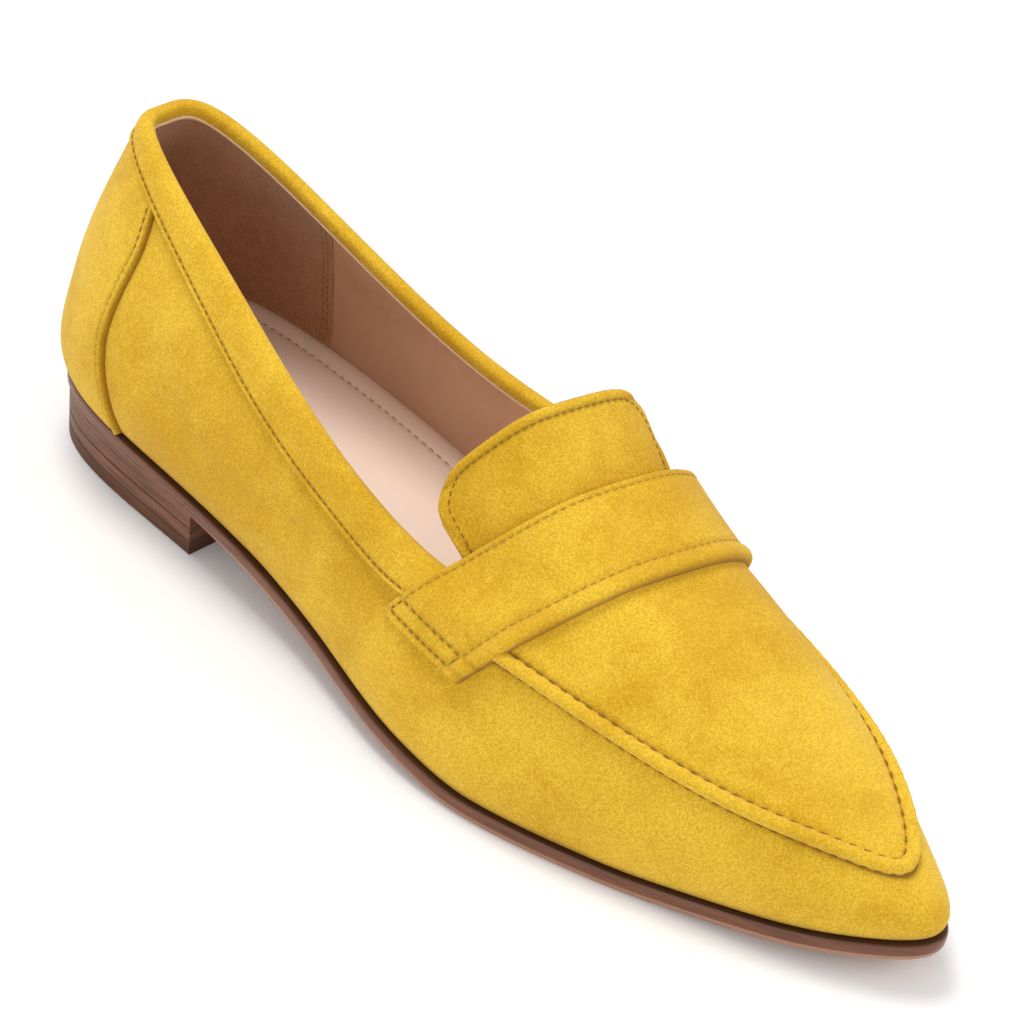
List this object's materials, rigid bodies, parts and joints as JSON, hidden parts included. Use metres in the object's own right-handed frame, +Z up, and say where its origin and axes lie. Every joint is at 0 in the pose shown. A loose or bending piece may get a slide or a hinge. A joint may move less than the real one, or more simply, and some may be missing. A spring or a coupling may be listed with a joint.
{
  "type": "right women's loafer",
  "caption": "Pointed suede loafer for the right foot, with a saddle strap, a raised apron seam, a short tongue and a low stacked heel.",
  "frame": {"origin": "middle of the bounding box in plan, at the floor the shoe stands on", "axes": "+X from the heel to the toe, +Y towards the inner side of the foot, +Z up"},
  "size_m": [0.2666, 0.087, 0.0836],
  "materials": {
    "suede": "mustard yellow suede with a short nap",
    "insole_leather": "smooth light beige leather",
    "sole_leather": "brown stacked leather, burnished and half glossy",
    "top_piece_rubber": "dark brown, dull"
  },
  "bodies": {
    "root": {"upper": "suede", "heel_counter": "suede", "collar_band": "suede", "apron_seam": "suede", "strap": "suede", "tongue": "suede", "insole": "insole_leather", "outsole": "sole_leather", "heel_lift_upper": "sole_leather", "heel_lift_lower": "sole_leather", "heel_top_piece": "top_piece_rubber"}
  },
  "joints": []
}
